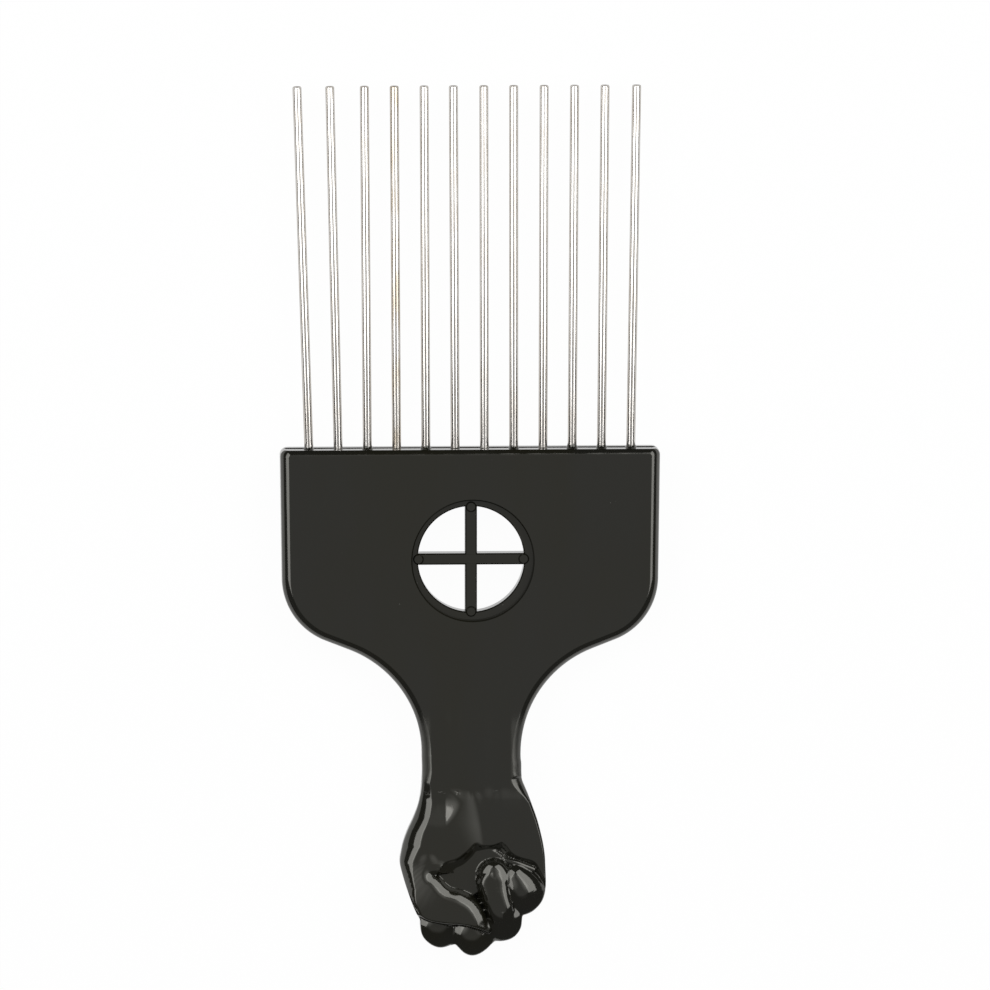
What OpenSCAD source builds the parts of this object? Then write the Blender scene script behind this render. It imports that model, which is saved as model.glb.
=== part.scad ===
// Afro pick: round steel tines set in one moulded handle, whose grip is a clenched fist.
// It lies face up: tines towards +Y, fist towards -Y, +Z out of the face that shows the palm.
// The origin is under the middle of the whole pick, at the height of the lowest knuckle.

/* [Tines] */
// Number of tines in the row
tine_count = 12; // [8:1:12]
// Distance between the axes of two tines
tine_pitch = 6; // [5:0.1:7]
// Diameter of the tine wire
tine_d = 1.8; // [1.4:0.1:2.2]
// Length of a tine outside the handle
tine_out = 74.8; // [60:0.1:90]
// Length of a tine inside the handle
tine_in = 10; // [7:0.5:13]
// Chamfer round the free end of a tine
tine_chamfer = 0.3; // [0.1:0.05:0.5]
// Play between a tine and its bore
tine_clearance = 0.02; // [0.01:0.01:0.05]
// How far the free end of the first tine leans out
tip_splay = 2.4; // [0:0.1:3]

/* [Head plate] */
// Thickness of the head plate
plate_t = 7; // [6:0.1:9]
// Depth of the plate, from the tine edge to the neck
plate_l = 62.9; // [58:0.1:70]
// Width of plate beyond the axis of each outer tine
side_margin = 5.6; // [4:0.1:7]
// Extra half width of the plate at the tine edge
side_draft = 0.35; // [0:0.05:0.6]
// Radius of the two corners at the tine edge
corner_r = 2; // [2:0.1:4]
// Rounding along every edge of the plate
edge_r = 1.9; // [0.8:0.1:1.9]
// Radius of the two shoulders
shoulder_r = 13.9; // [11:0.1:16]
// Depth of the shoulders' centres below the tine edge
shoulder_depth = 26.4; // [24:0.1:29]
// Angle that the edge turns through round a shoulder
shoulder_turn = 68.7; // [62:0.1:72]

/* [Window] */
// Radius of the round window
window_r = 10.9; // [8:0.1:12]
// Wall between the tines' buried ends and the window
window_web = 1.7; // [1.2:0.1:3]
// Width of the sunk ring round the window
ring_w = 1.5; // [1:0.1:2]
// Depth that the ring and the cross are sunk below each face
ring_sink = 1.5; // [0.8:0.1:2]
// Width of the bars of the cross
bar_w = 2.4; // [1.6:0.05:3]
// Radius of the round pads where the bars meet the ring
pad_r = 1.1; // [0.9:0.05:1.6]
// Height of the pads above the ring
pad_h = 0.2; // [0.1:0.05:0.4]

/* [Neck and fist] */
// Width of the neck
neck_w = 20.2; // [18:0.1:22]
// Length of the neck, from the plate to the wrist
neck_l = 6.6; // [5:0.1:10]
// Width of the fist
fist_w = 30; // [27:0.1:33]
// Length of the fist, from the wrist to the lowest knuckle
fist_l = 35.1; // [31:0.1:39]
// Height of the fist's palm side above the parting plane
fist_front = 6.6; // [6:0.1:8]
// Height of the fist's back above the parting plane
fist_back = 5.5; // [4.5:0.1:7]
// Half height of the band along the parting line
parting_land = 0.15; // [0.1:0.05:0.3]
// Rise of the plain wrist into the palm
palm_rise = 0.75; // [0.4:0.05:1.2]
// Roundness of the palm's edge where it folds
fold_r = 0.5; // [0.2:0.05:0.8]
// Width of the rounding along the upper edge of the thumb
thumb_edge_w = 2.6; // [1:0.1:4]
// Fall of the thumb over that width
thumb_edge_fall = 0.8; // [0.2:0.1:1.2]
// Softness of the creases between the fingers and in the palm
crease_soft = 0.12; // [0.1:0.02:0.3]
// Softness of the valleys on the back of the hand
valley_soft = 0.4; // [0.2:0.05:0.8]

/* [Hidden] */
$fn = 64;
overrun = 1;
edge_steps = 4;
corner_steps = 4;
arc_steps = 12;
flat_steps = 34;
neck_steps = 4;
fist_steps = 56;
crease_steps = 3;

function tine_name(i) = str("tine_", i < 10 ? "0" : "", i);

tine_r = tine_d / 2;
half_w = tine_pitch * (tine_count - 1) / 2 + side_margin;
window_depth = tine_in + window_web + window_r;
wrist_depth = plate_l + neck_l;
handle_l = wrist_depth + fist_l;
edge_y = (handle_l - tine_out) / 2;
mid_z = fist_back;

// Lean of each tine, as shares of tip_splay, left to right
tine_lean_shares = [-1, -0.7, -0.25, -0.2, -0.15, -0.15, -0.05, 0, 0.1, 0.2, 0.3, 0.5];

// The fist is laid out from the wrist: x in shares of fist_w, y in shares of fist_l,
// radii in shares of fist_w, and heights in shares of fist_front or fist_back.
left_edge_shares = [-0.332, -0.35, -0.382, -0.42, -0.457, -0.479, -0.472, -0.444, -0.405, -0.36, -0.34];
right_edge_shares = [0.36, 0.4, 0.428, 0.454, 0.475, 0.492, 0.503, 0.51, 0.512, 0.514, 0.51];
corner_drop_shares = [0.826, 0.62];
// Knuckles along the lower edge: x, half width, y of the widest place, drop below it
knuckle_edge_shares = [
    [-0.217, 0.133, 0.838, 0.121],
    [0.025, 0.13, 0.88, 0.12],
    [0.237, 0.116, 0.814, 0.1],
    [0.408, 0.113, 0.637, 0.118],
];
// Edge of the palm where it folds over the finger tips, from the little finger to the thumb: x, y
palm_fold_shares = [
    [0.532, 0.581], [0.468, 0.493], [0.409, 0.438], [0.302, 0.408], [0.243, 0.355], [0.208, 0.33],
    [0.141, 0.347], [0.061, 0.347], [0.031, 0.336], [-0.009, 0.369], [-0.083, 0.42], [-0.164, 0.443],
    [-0.239, 0.512],
];
// Upper edge of the thumb, from its root to its tip: x, y
thumb_top_shares = [
    [-0.254, 0.515], [-0.198, 0.554], [-0.149, 0.596], [-0.074, 0.612], [-0.005, 0.642],
    [0.059, 0.697], [0.097, 0.762], [0.118, 0.826],
];
// Lower edge of the thumb, from its tip back to the side of the fist: x, y
thumb_foot_shares = [
    [0.127, 0.853], [0.055, 0.832], [-0.031, 0.809], [-0.117, 0.802], [-0.234, 0.791], [-0.315, 0.77],
    [-0.374, 0.744],
];
// Mounds of the palm below the thumb and the little finger: x, y, reach left, right and along the fist, height
thenar_shares = [-0.148, 0.36, 0.533, 0.317, 0.373, 0.75];
hypothenar_shares = [0.27, 0.314, 0.327, 0.533, 0.328, 0.735];
// Place in the palm where the side of the thumb's mound starts to rise, and its slopes across and along
palm_valley_shares = [-0.173, 0.078];
valley_slopes = [0.26, 0.15];
// Chains of places that a form is swept along: x, y, half width, height
thumb_shares = [
    [-0.356, 0.489, 0.182, 0.727], [-0.277, 0.579, 0.193, 0.833], [-0.182, 0.668, 0.193, 0.955],
    [-0.075, 0.704, 0.182, 1], [0.021, 0.742, 0.161, 0.97], [0.092, 0.799, 0.118, 0.864],
];
ring_finger_shares = [
    [0.118, 0.52, 0.066, 0.924], [0.135, 0.576, 0.073, 0.955], [0.186, 0.663, 0.08, 0.97],
    [0.229, 0.742, 0.096, 0.939], [0.245, 0.8, 0.105, 0.833],
];
little_finger_shares = [
    [0.309, 0.536, 0.098, 0.894], [0.362, 0.591, 0.139, 0.924], [0.378, 0.624, 0.133, 0.864],
];
index_knuckle_shares = [[-0.239, 0.844, 0.107, 0.742], [-0.212, 0.848, 0.105, 0.742]];
middle_knuckle_shares = [[0.002, 0.889, 0.118, 0.758], [0.018, 0.889, 0.116, 0.758]];
// Floor of the pocket between the palm and the thumb
pocket_shares = [
    [-0.168, 0.536, 0.024, 0.636], [-0.115, 0.544, 0.056, 0.652], [-0.045, 0.537, 0.09, 0.667],
    [0.016, 0.489, 0.077, 0.667], [0.069, 0.426, 0.051, 0.667], [0.131, 0.401, 0.032, 0.652],
];
// How far round each form is swept, where 1 is half round and less is shallower
thumb_arc_share = 0.35;
finger_arc_shares = [0.97, 0.8, 0.68, 0.72, 0.06];
// Steepness of the walls beside the fingers, of the fold in the palm and beside the thumb's shallow form
finger_wall = 2.5;
fold_wall = 1.4;
thumb_wall = 0.5;
// The back of the hand: a broad mound, and a ridge from each knuckle towards the wrist
hand_back_shares = [[0.01, 0.1, 0.34, 0.66], [0.02, 0.45, 0.46, 0.86], [0.04, 0.66, 0.4, 0.86]];
back_ridge_shares = [
    [[-0.2, 0.8, 0.13, 0.94], [-0.15, 0.45, 0.11, 0.84]],
    [[0.02, 0.84, 0.13, 1], [0.01, 0.45, 0.11, 0.9]],
    [[0.22, 0.77, 0.12, 0.97], [0.15, 0.42, 0.1, 0.88]],
    [[0.39, 0.62, 0.11, 0.84], [0.27, 0.35, 0.1, 0.78]],
];
thumb_back_shares = [[-0.29, 0.3, 0.16, 0.5], [-0.35, 0.46, 0.12, 0.5]];
// Fall of the back of the hand and of its ridges from top to rim, as shares of their radii
back_round_share = 0.3;
ridge_round_share = 0.36;
// Thickness of the hand's floor, below every mound
floor_share = 0.18;
// Roundness of the palm side at its outline: y as a share of fist_l, width as a share of fist_w
left_round_shares = [[0.03, 0.083], [0.17, 0.12], [0.285, 0.12], [0.456, 0.093], [0.684, 0.053], [0.77, 0.023]];
right_round_shares = [[0.02, 0.093], [0.05, 0.047], [0.1, 0.02]];
// Roundness of the back at its outline, as a share of fist_w
outline_round_share = 0.17;
// Lengths over which the neck passes into the hand, and rises into its palm and its back, as shares of fist_l
wrist_blend_share = 0.06;
palm_blend_share = 0.23;
back_blend_share = 0.26;
// Power of the curve of each knuckle along the lower edge
knuckle_power = 2.5;
// How much closer the sections lie towards the knuckles, and the depth to which they are spaced level
crowding_share = 0.12;
level_share = 0.85;
// Power by which the sections bend towards the lower edge
level_power = 3;

function lerp(a, b, t) = a + (b - a) * t;
function clamp01(t) = max(0, min(1, t));
function ease(t) = let (c = clamp01(t)) c * c * (3 - 2 * c);
function reversed(list) = [for (i = [len(list) - 1 : -1 : 0]) list[i]];
function flat(lists) = [for (list = lists) each list];

// Value at t, from 0 to 1, of a smooth curve through a list of values
function curve(values, t) =
    let (n = len(values) - 1, i = min(floor(t * n), n - 1), f = t * n - i,
         a = values[max(i - 1, 0)], b = values[i], c = values[i + 1], d = values[min(i + 2, n)])
    b + f * (c - a + f * (2 * a - 5 * b + 4 * c - d + f * (3 * (b - c) + d - a))) / 2;

// Highest of a list of heights, with creases softened, and its opposite
function soft_max(h, soft) = let (m = max(h)) m + soft * ln([for (v = h) exp((v - m) / soft)] * [for (v = h) 1]);
function soft_min(h, soft) = -soft_max(-h, soft);

// Height of a rounded edge at a distance in from the outline
function rounded(d, width, height) = let (q = clamp01(1 - d / width)) height * sqrt(1 - q * q);

// Faces of a skin over rings of n points, where point i of each ring faces point n - 1 - i.
// Each quad between two rings is split along its shorter diagonal.
function strip(o, n, i) = [[o + i, o + i + 1, o + n - 2 - i], [o + i, o + n - 2 - i, o + n - 1 - i]];
function quad(p, a, b, c, d) = norm(p[a] - p[c]) < norm(p[b] - p[d])
    ? [[a, b, c], [a, c, d]] : [[a, b, d], [b, c, d]];
function skin_faces(p, m, n) = concat(
    flat([for (i = [0 : n / 2 - 2]) strip(0, n, i)]),
    [for (j = [0 : m - 2], i = [0 : n - 1])
        let (a = j * n + i, b = j * n + (i + 1) % n) each quad(p, a, a + n, b + n, b)],
    flat([for (i = [0 : n / 2 - 2]) [for (f = strip((m - 1) * n, n, i)) reversed(f)]])
);
module skin(rings) {
    points = flat(rings);
    polyhedron(points = points, faces = skin_faces(points, len(rings), len(rings[0])));
}

// Rounded edge from its side to its face: inset of the outline, and height
edge_profile = [for (k = [0 : edge_steps])
    let (a = 90 * k / edge_steps) [edge_r * (1 - cos(a)), plate_t / 2 - edge_r + edge_r * sin(a)]];

// Right half of the plate's outline, inset by e, from the neck up to the tine edge
function plate_half(e) =
    let (shoulder = [half_w - shoulder_r, shoulder_depth],
         n = [cos(shoulder_turn), sin(shoulder_turn)],
         flare_r = ([neck_w / 2, plate_l] * n - shoulder * n - shoulder_r) / (1 - n[0]),
         flare = [neck_w / 2 + flare_r, plate_l],
         corner = [half_w + side_draft - corner_r, corner_r])
    concat(
        [for (k = [0 : arc_steps]) let (a = shoulder_turn * k / arc_steps)
            flare - (flare_r + e) * [cos(a), sin(a)]],
        [for (k = [arc_steps : -1 : 0]) let (a = shoulder_turn * k / arc_steps)
            shoulder + (shoulder_r - e) * [cos(a), sin(a)]],
        [for (k = [0 : corner_steps]) let (a = 90 * k / corner_steps)
            corner + (corner_r - e) * [cos(a), -sin(a)]]
    );
function plate_ring(e, z) = let (half = plate_half(e)) concat(
    [for (p = half) [p[0], edge_y - p[1], mid_z + z]],
    [for (p = reversed(half)) [-p[0], edge_y - p[1], mid_z + z]]
);

module plate_skin() {
    skin(concat(
        [for (s = reversed(edge_profile)) plate_ring(s[0], -s[1])],
        [for (s = edge_profile) plate_ring(s[0], s[1])]
    ));
}

// Places in millimetres, with y measured down from the wrist, and chains of mounds likewise
function placed(shares) = [for (p = shares) [p[0] * fist_w, p[1] * fist_l]];
function sized(mounds, height) = [for (m = mounds) [m[0] * fist_w, m[1] * fist_l, m[2] * fist_w, m[3] * height]];
thumb = sized(thumb_shares, fist_front);
fingers = [for (f = [ring_finger_shares, little_finger_shares, index_knuckle_shares, middle_knuckle_shares,
    pocket_shares]) sized(f, fist_front)];
hand_back = sized(hand_back_shares, fist_back);
back_ridges = [for (f = concat(back_ridge_shares, [thumb_back_shares])) sized(f, fist_back)];
palm_valley = placed([palm_valley_shares])[0];
function roundness(shares) = concat([[0, edge_r]], [for (p = shares) [p[0] * fist_l, p[1] * fist_w]]);
left_round = roundness(left_round_shares);
right_round = roundness(right_round_shares);

// Points along a smooth curve through a list of places
function smooth(places) = let (n = crease_steps * (len(places) - 1)) [for (k = [0 : n]) curve(places, k / n)];
thumb_top = smooth(placed(thumb_top_shares));
// Edge of the palm and the thumb, and the whole area that it closes off towards the plate
palm_edge = concat(smooth(placed(palm_fold_shares)), thumb_top, smooth(placed(thumb_foot_shares)));
palm_area = let (far = 2 * fist_w, last = palm_edge[len(palm_edge) - 1])
    concat(palm_edge, [[-far, last[1]], [-far, -far], [far, -far], [far, palm_edge[0][1]]]);

// Distance from a place to a line of points, and whether a place is inside a closed one
function distance_to(p, line) = min([for (i = [0 : len(line) - 2])
    let (a = line[i], along = line[i + 1] - a, t = clamp01((p - a) * along / (along * along)))
    norm(p - a - t * along)]);
function is_inside(p, area) = let (n = len(area)) len([for (i = [0 : n - 1])
    let (a = area[i], b = area[(i + 1) % n])
    if ((p[1] < a[1]) != (p[1] < b[1]) && p[0] < lerp(a[0], b[0], (p[1] - a[1]) / (b[1] - a[1]))) i]) % 2 == 1;

// Fall of a form at q radii from its axis: round and then a steep wall, or shallow like the back of a hand
function round_fall(arc, wall) = function (q) (1 - sqrt(1 - (arc * min(q, 1)) ^ 2)) / arc + wall * max(q - 1, 0);
function shallow_fall(round_share) = function (q) round_share * q * q;

// Height at a place of a form that is swept along a chain of places
function mound(p, chain, fall) = max([for (i = [0 : len(chain) - 2])
    let (a = chain[i], b = chain[i + 1], start = [a[0], a[1]], along = [b[0], b[1]] - start,
         t = clamp01((p - start) * along / (along * along)), r = lerp(a[2], b[2], t))
    lerp(a[3], b[3], t) - r * fall(norm(p - start - t * along) / r)]);
// Height at a place of a shallow oval mound in the palm
function dome(p, m) =
    let (u = (p[0] - m[0] * fist_w) / (fist_w * (p[0] < m[0] * fist_w ? m[2] : m[3])),
         v = (p[1] - m[1] * fist_l) / (fist_l * m[4]))
    plate_t / 2 + (m[5] * fist_front - plate_t / 2) * (1 - u * u - v * v);

// Height of the palm and the thumb, which are one surface with a steep edge
function palm_height(p) =
    let (plain = plate_t / 2 + palm_rise * ease(p[1] / (palm_blend_share * fist_l)),
         past = [max(p[0] - palm_valley[0], 0), abs(p[1] - palm_valley[1])],
         ball = soft_min([max(dome(p, thenar_shares), plain), plate_t / 2 + valley_slopes * past], crease_soft),
         heel = soft_max([ball, dome(p, hypothenar_shares)], crease_soft),
         whole = soft_max([heel, mound(p, thumb, round_fall(thumb_arc_share, thumb_wall))], crease_soft),
         top_fall = thumb_edge_fall * max(1 - distance_to(p, thumb_top) / thumb_edge_w, 0) ^ 2,
         depth = distance_to(p, palm_edge) * (is_inside(p, palm_area) ? 1 : -1))
    whole - top_fall - fold_r + rounded(depth, fold_r, fold_r) + fold_wall * min(depth, 0);
// Height beside the wrist, where the flat neck passes into the hand
function past_wrist(p, height) = lerp(plate_t / 2, height, ease(p[1] / (wrist_blend_share * fist_l)));
function front_height(p) = p[1] <= 0 ? plate_t / 2 : past_wrist(p, soft_max(concat(
    [palm_height(p), fist_front * floor_share],
    [for (i = [0 : len(fingers) - 1]) mound(p, fingers[i], round_fall(finger_arc_shares[i], finger_wall))]
), crease_soft));
function back_height(p) = p[1] <= 0 ? plate_t / 2 : min(fist_back, past_wrist(p, soft_max(concat(
    [mound(p, hand_back, shallow_fall(back_round_share)),
        lerp(plate_t / 2, fist_back * floor_share, ease(p[1] / (back_blend_share * fist_l)))],
    [for (f = back_ridges) mound(p, f, shallow_fall(ridge_round_share))]
), valley_soft)));
// Roundness at the outline of the palm side and of the back, which both start as that of the plate
function front_round(p) = lookup(p[1], p[0] < 0 ? left_round : right_round);
function back_round(p) = lerp(edge_r, outline_round_share * fist_w, ease(p[1] / (back_blend_share * fist_l)));
// Height of a side at a distance in from the outline
function edged(height, depth, width) =
    let (drop = min(width, height - parting_land)) height - drop + rounded(depth, width, drop);

// Columns across the neck and fist, from one side to the other, as shares of half the width
column_shares = let (rim = [for (s = edge_profile) 1 - s[0] / (neck_w / 2)], inner = rim[edge_steps]) concat(
    [for (k = [0 : edge_steps - 1]) rim[k]],
    [for (k = [0 : flat_steps]) inner * (1 - 2 * k / flat_steps)],
    [for (k = [edge_steps - 1 : -1 : 0]) -rim[k]]
);
column_last = len(column_shares) - 1;
edge_last = len(left_edge_shares) - 1;

// Lower edge of the fist at a column, below the wrist
function lower_edge(u) =
    let (x = fist_w * lerp(left_edge_shares[edge_last], right_edge_shares[edge_last], (1 + u) / 2))
    fist_l * max(concat(
        [lerp(corner_drop_shares[0], corner_drop_shares[1], (1 + u) / 2)],
        [for (k = knuckle_edge_shares) let (q = abs(x / fist_w - k[0]) / k[1])
            q < 1 ? k[2] + k[3] * (1 - q ^ knuckle_power) ^ (1 / knuckle_power) : 0]
    ));
lower_edges = [for (u = column_shares) lower_edge(u)];
// Depth below the wrist of section t at a column: level in the palm, and along the knuckles at the end
function row_depth(t, lower) = let (level = level_share * fist_l) level * t + (lower - level) * t ^ level_power;
// Side edges of the fist at t, from the wrist to the outermost knuckles
left_corner = corner_drop_shares[0] * fist_l;
right_corner = corner_drop_shares[1] * fist_l;
function left_edge(t) = fist_w * curve(left_edge_shares, row_depth(t, left_corner) / left_corner);
function right_edge(t) = fist_w * curve(right_edge_shares, row_depth(t, right_corner) / right_corner);

// One section, where s runs from the plate (-1) over the wrist (0) to the knuckles (1)
function section(s) =
    let (t = max(s, 0),
         into = ease(1 + s),
         left = lerp(-neck_w / 2, left_edge(t), into),
         right = lerp(neck_w / 2, right_edge(t), into),
         places = [for (i = [0 : column_last])
             [lerp(left, right, (1 + column_shares[i]) / 2),
              s < 0 ? s * neck_l : row_depth(t, lower_edges[i])]],
         depths = [for (i = [0 : column_last])
             min(right - places[i][0], places[i][0] - left, lower_edges[i] - places[i][1])])
    concat(
        [for (i = [0 : column_last]) let (p = places[i])
            [p[0], edge_y - wrist_depth - p[1], mid_z + edged(front_height(p), depths[i], front_round(p))]],
        [for (i = [column_last : -1 : 0]) let (p = places[i])
            [p[0], edge_y - wrist_depth - p[1], mid_z - edged(back_height(p), depths[i], back_round(p))]]
    );

module fist_skin() {
    skin(concat(
        [for (k = [0 : neck_steps - 1]) section(k / neck_steps - 1)],
        [for (k = [0 : fist_steps]) let (t = k / fist_steps) section(t + crowding_share * sin(180 * t))]
    ));
}

// Puts a child, which points along +Z from the tine edge, on the axis of tine i
module on_tine(i) {
    lean = atan2(tip_splay * tine_lean_shares[i - 1], tine_out);
    translate([tine_pitch * (i - (tine_count + 1) / 2), edge_y, mid_z])
        rotate([-90, 0, -lean]) children();
}

module tine(i) {
    color("silver") on_tine(i) rotate_extrude() polygon([
        [0, -tine_in], [tine_r, -tine_in], [tine_r, tine_out - tine_chamfer],
        [tine_r - tine_chamfer, tine_out], [0, tine_out]
    ]);
}

module tine_bores() {
    for (i = [1 : tine_count])
        on_tine(i) translate([0, 0, -tine_in - tine_clearance])
            cylinder(r = tine_r + tine_clearance, h = tine_in + tine_clearance + overrun);
}

// The window with its sunk ring on both faces, less the cross and its pads
module window_cut() {
    core_t = plate_t - 2 * ring_sink;
    translate([0, edge_y - window_depth, mid_z]) difference() {
        union() {
            cylinder(r = window_r, h = plate_t + 2 * overrun, center = true);
            for (side = [-1, 1])
                translate([0, 0, side * (plate_t / 2 - ring_sink / 2 + overrun / 2)])
                    cylinder(r = window_r + ring_w, h = ring_sink + overrun, center = true);
        }
        for (a = [0, 90]) rotate(a)
            cube([bar_w, 2 * (window_r + overrun), core_t], center = true);
        for (a = [0 : 90 : 270]) rotate(a) translate([window_r, 0, 0])
            cylinder(r = pad_r, h = core_t + 2 * pad_h, center = true);
    }
}

module handle() {
    color([0.18, 0.18, 0.17]) difference() {
        union() {
            plate_skin();
            fist_skin();
        }
        tine_bores();
        window_cut();
    }
}

handle();
for (i = [1 : tine_count]) tine(i);
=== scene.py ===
"""An afro pick: twelve plated steel tines set in a black moulding, whose grip is a clenched fist."""
import math
from functools import cached_property

import bmesh
import bpy
import numpy as np
from mathutils import Matrix, Vector


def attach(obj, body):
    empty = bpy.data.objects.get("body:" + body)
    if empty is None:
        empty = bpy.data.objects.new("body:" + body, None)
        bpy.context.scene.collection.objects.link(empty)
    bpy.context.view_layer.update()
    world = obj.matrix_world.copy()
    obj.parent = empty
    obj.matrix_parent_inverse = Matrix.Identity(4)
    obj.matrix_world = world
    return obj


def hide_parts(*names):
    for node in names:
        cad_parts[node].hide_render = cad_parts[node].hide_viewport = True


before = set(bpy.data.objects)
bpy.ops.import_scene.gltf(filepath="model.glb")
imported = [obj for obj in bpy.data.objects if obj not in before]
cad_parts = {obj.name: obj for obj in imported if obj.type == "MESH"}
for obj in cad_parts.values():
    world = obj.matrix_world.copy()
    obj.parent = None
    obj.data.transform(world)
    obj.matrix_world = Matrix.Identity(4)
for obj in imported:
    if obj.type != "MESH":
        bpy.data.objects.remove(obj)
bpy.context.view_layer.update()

# Tines: twelve lengths of hard-drawn steel wire, cropped to one length, barrelled so that
# their ends are rounded, and nickel plated. Their other ends are held 10 mm deep in the moulding,
# and each stands a little out of true.
MM = 0.001
TINE_EDGE, MID_HEIGHT = 14.9, 5.5
TINE_PITCH, WIRE_RADIUS, WIRE_OUT, WIRE_IN, END_ROUND = 6.0, 0.9, 74.8, 10.0, 0.34
TIP_LEANS = (-2.4, -1.68, -0.6, -0.48, -0.36, -0.36, -0.12, 0.0, 0.24, 0.48, 0.72, 1.2)
SIDES_OF_WIRE, ROUND_STEPS = 48, 4
NICKEL, CLOUDED_NICKEL, NICKEL_RIM = (0.71, 0.69, 0.66, 1), (0.645, 0.61, 0.565, 1), (0.25, 0.22, 0.2, 1)
STAIN_BROWN, STAIN_STRENGTH, STAIN_X, STAIN_REACH = (0.5, 0.42, 0.31, 1), 0.75, -15.4, (0.6, 2.2)
DRAWN_DEPTH = 0.0005


class Signal:
    """A shader value, on which plain arithmetic adds Math nodes."""

    def __init__(self, finish, socket):
        self.finish, self.socket = finish, socket

    def math(self, operation, *others):
        return self.finish.add("ShaderNodeMath", {"operation": operation}, (self, *others))

    def __add__(self, other):
        return self.math("ADD", other)

    __radd__ = __add__

    def __mul__(self, other):
        return self.math("MULTIPLY", other)

    __rmul__ = __mul__

    def __sub__(self, other):
        return self.math("SUBTRACT", other)

    def __rsub__(self, other):
        return self * -1 + other

    def step(self, low, high):
        """0 at low and 1 at high, with a smooth rise between them."""
        settings = {"interpolation_type": "SMOOTHSTEP"}
        return self.finish.add("ShaderNodeMapRange", settings, (self, low, high, 0.0, 1.0))

    def near(self, middle, reach):
        """1 within the first reach of the middle, and 0 past the second."""
        return 1 - (self - middle).math("ABSOLUTE").step(*reach)


class Finish:
    """A material, whose nodes are added one call at a time. Places are in millimetres."""

    def __init__(self, name, tree=None):
        if tree is None:
            self.material = bpy.data.materials.new(name)
            self.material.use_nodes = True
            tree = self.material.node_tree
        self.nodes, self.links = tree.nodes, tree.links
        self.nodes.clear()

    def add(self, kind, settings=None, sockets=(), out=0):
        node = self.nodes.new(kind)
        for key, value in (settings or {}).items():
            setattr(node, key, value)
        for key, value in sockets.items() if isinstance(sockets, dict) else enumerate(sockets):
            if isinstance(value, Signal):
                self.links.new(value.socket, node.inputs[key])
            else:
                node.inputs[key].default_value = value
        return Signal(self, node.outputs[out]) if node.outputs else None

    @cached_property
    def place(self):
        metres = self.add("ShaderNodeTexCoord", out="Object")
        return self.add("ShaderNodeVectorMath", {"operation": "SCALE"}, {0: metres, 3: 1 / MM})

    def along(self, axis):
        return self.add("ShaderNodeSeparateXYZ", {}, [self.place], axis)

    def noise(self, scale, detail=2.0, stretch=(1, 1, 1)):
        place = self.add("ShaderNodeVectorMath", {"operation": "MULTIPLY"}, (self.place, stretch))
        return self.add("ShaderNodeTexNoise", {}, {"Vector": place, "Scale": scale, "Detail": detail})

    def mixed(self, amount, first, second):
        return self.add("ShaderNodeMix", {"data_type": "RGBA"}, {0: amount, 6: first, 7: second}, 2)

    def bump(self, height):
        """Bump from a height in millimetres."""
        return self.add("ShaderNodeBump", {}, {"Strength": 1.0, "Distance": MM, "Height": height})

    def surface(self, sockets):
        shader = self.add("ShaderNodeBsdfPrincipled", {}, sockets)
        self.add("ShaderNodeOutputMaterial", {}, {"Surface": shader})
        return self.material


def start(add_primitive, name, **sizes):
    """A new primitive, named, the only thing selected."""
    bpy.ops.object.select_all(action="DESELECT")
    add_primitive(**sizes)
    piece = bpy.context.object
    piece.name = piece.data.name = name
    return piece


def same(a, b):
    """Whether two coordinates are the same, to a hundredth of a millimetre."""
    return abs(a - b) < 0.01 * MM


def pick_edges(piece, wanted):
    """Leaves the piece in edit mode with only the wanted edges selected."""
    bpy.context.view_layer.objects.active = piece
    bpy.ops.object.mode_set(mode="EDIT")
    bpy.ops.mesh.select_mode(type="EDGE")
    bpy.ops.mesh.select_all(action="DESELECT")
    mesh = bmesh.from_edit_mesh(piece.data)
    for edge in mesh.edges:
        edge.select = wanted(*(v.co for v in edge.verts))
    bmesh.update_edit_mesh(piece.data)


def on_body(piece, material, slot, *nodes):
    """Puts a finished piece in the frame, in place of the CAD nodes named."""
    piece.data.materials.clear()
    piece.data.materials.append(material)
    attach(piece, "root")
    if nodes:
        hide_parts(*nodes)


def nickel():
    """Bright plate with the streaks of drawing under it, dull clouds, and a brown stain on one tine."""
    finish = Finish("nickel_plate")
    drawn = finish.noise(scale=7.0, detail=3.0, stretch=(1, 0.012, 1))
    cloud = finish.noise(scale=0.16, detail=3.0)
    patchy = finish.noise(scale=0.5, stretch=(1, 0.25, 1)).step(0.3, 0.7)
    stain = finish.along("X").near(STAIN_X, STAIN_REACH) * patchy
    clean = finish.mixed(cloud.step(0.35, 0.7), NICKEL, CLOUDED_NICKEL)
    return finish.surface({
        "Base Color": finish.mixed(stain * STAIN_STRENGTH, clean, STAIN_BROWN),
        "Metallic": 1.0,
        "Roughness": 0.1 + drawn * 0.12 + stain * 0.08,
        "Specular Tint": NICKEL_RIM,
        "Normal": finish.bump(drawn * DRAWN_DEPTH),
    })


def wire():
    length = WIRE_OUT + WIRE_IN
    piece = start(bpy.ops.mesh.primitive_cylinder_add, "wire", vertices=SIDES_OF_WIRE,
                  radius=WIRE_RADIUS * MM, depth=length * MM, location=(0, 0, (length / 2 - WIRE_IN) * MM))
    bpy.ops.object.transform_apply()
    pick_edges(piece, lambda a, b: same(a.z, b.z))
    bpy.ops.mesh.bevel(offset=END_ROUND * MM, segments=ROUND_STEPS, profile=0.5)
    bpy.ops.object.mode_set(mode="OBJECT")
    return piece


def tine_x(number):
    return TINE_PITCH * (number - (len(TIP_LEANS) + 1) / 2)


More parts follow.
